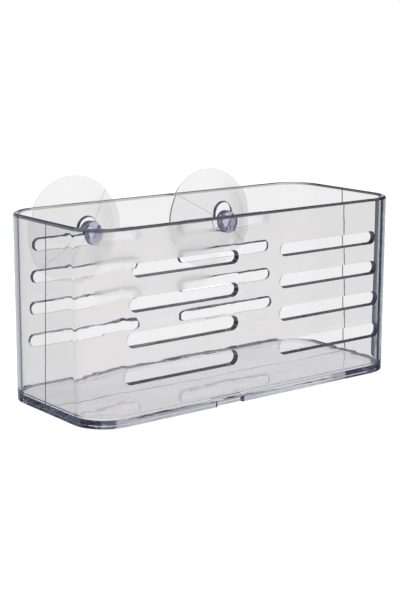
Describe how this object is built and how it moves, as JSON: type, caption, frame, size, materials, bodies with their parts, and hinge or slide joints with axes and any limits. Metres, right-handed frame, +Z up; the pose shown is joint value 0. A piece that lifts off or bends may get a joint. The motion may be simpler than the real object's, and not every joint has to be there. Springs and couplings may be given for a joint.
{
  "type": "suction bathroom shelf",
  "caption": "Clear rectangular open-top bathroom basket with rounded corners and long drain slots, held to a wall by soft suction cups in keyholes.",
  "frame": {"origin": "middle of the underside of the whole object's box, on the surface it stands on", "axes": "+Z up, the front wall faces -Y, the suction cups' lips face +Y towards the wall, +X to the right seen from the front"},
  "size_m": [0.238, 0.114, 0.1302],
  "materials": {
    "clear_polystyrene": "clear, polished",
    "clear_soft_vinyl": "clear, soft, slightly blue-violet"
  },
  "bodies": {
    "basket": {"shelf_basket": "clear_polystyrene"},
    "left_cup": {"left_suction_cup": "clear_soft_vinyl"},
    "right_cup": {"right_suction_cup": "clear_soft_vinyl"}
  },
  "joints": [
    {"name": "left_cup_spin", "type": "hinge", "parent": "basket", "child": "left_cup", "pos_m": [-0.0575, 0.0414, 0.09617], "axis": [0, 1, 0], "continuous": true},
    {"name": "right_cup_spin", "type": "hinge", "parent": "basket", "child": "right_cup", "pos_m": [0.05095, 0.0414, 0.09297], "axis": [0, 1, 0], "continuous": true}
  ]
}
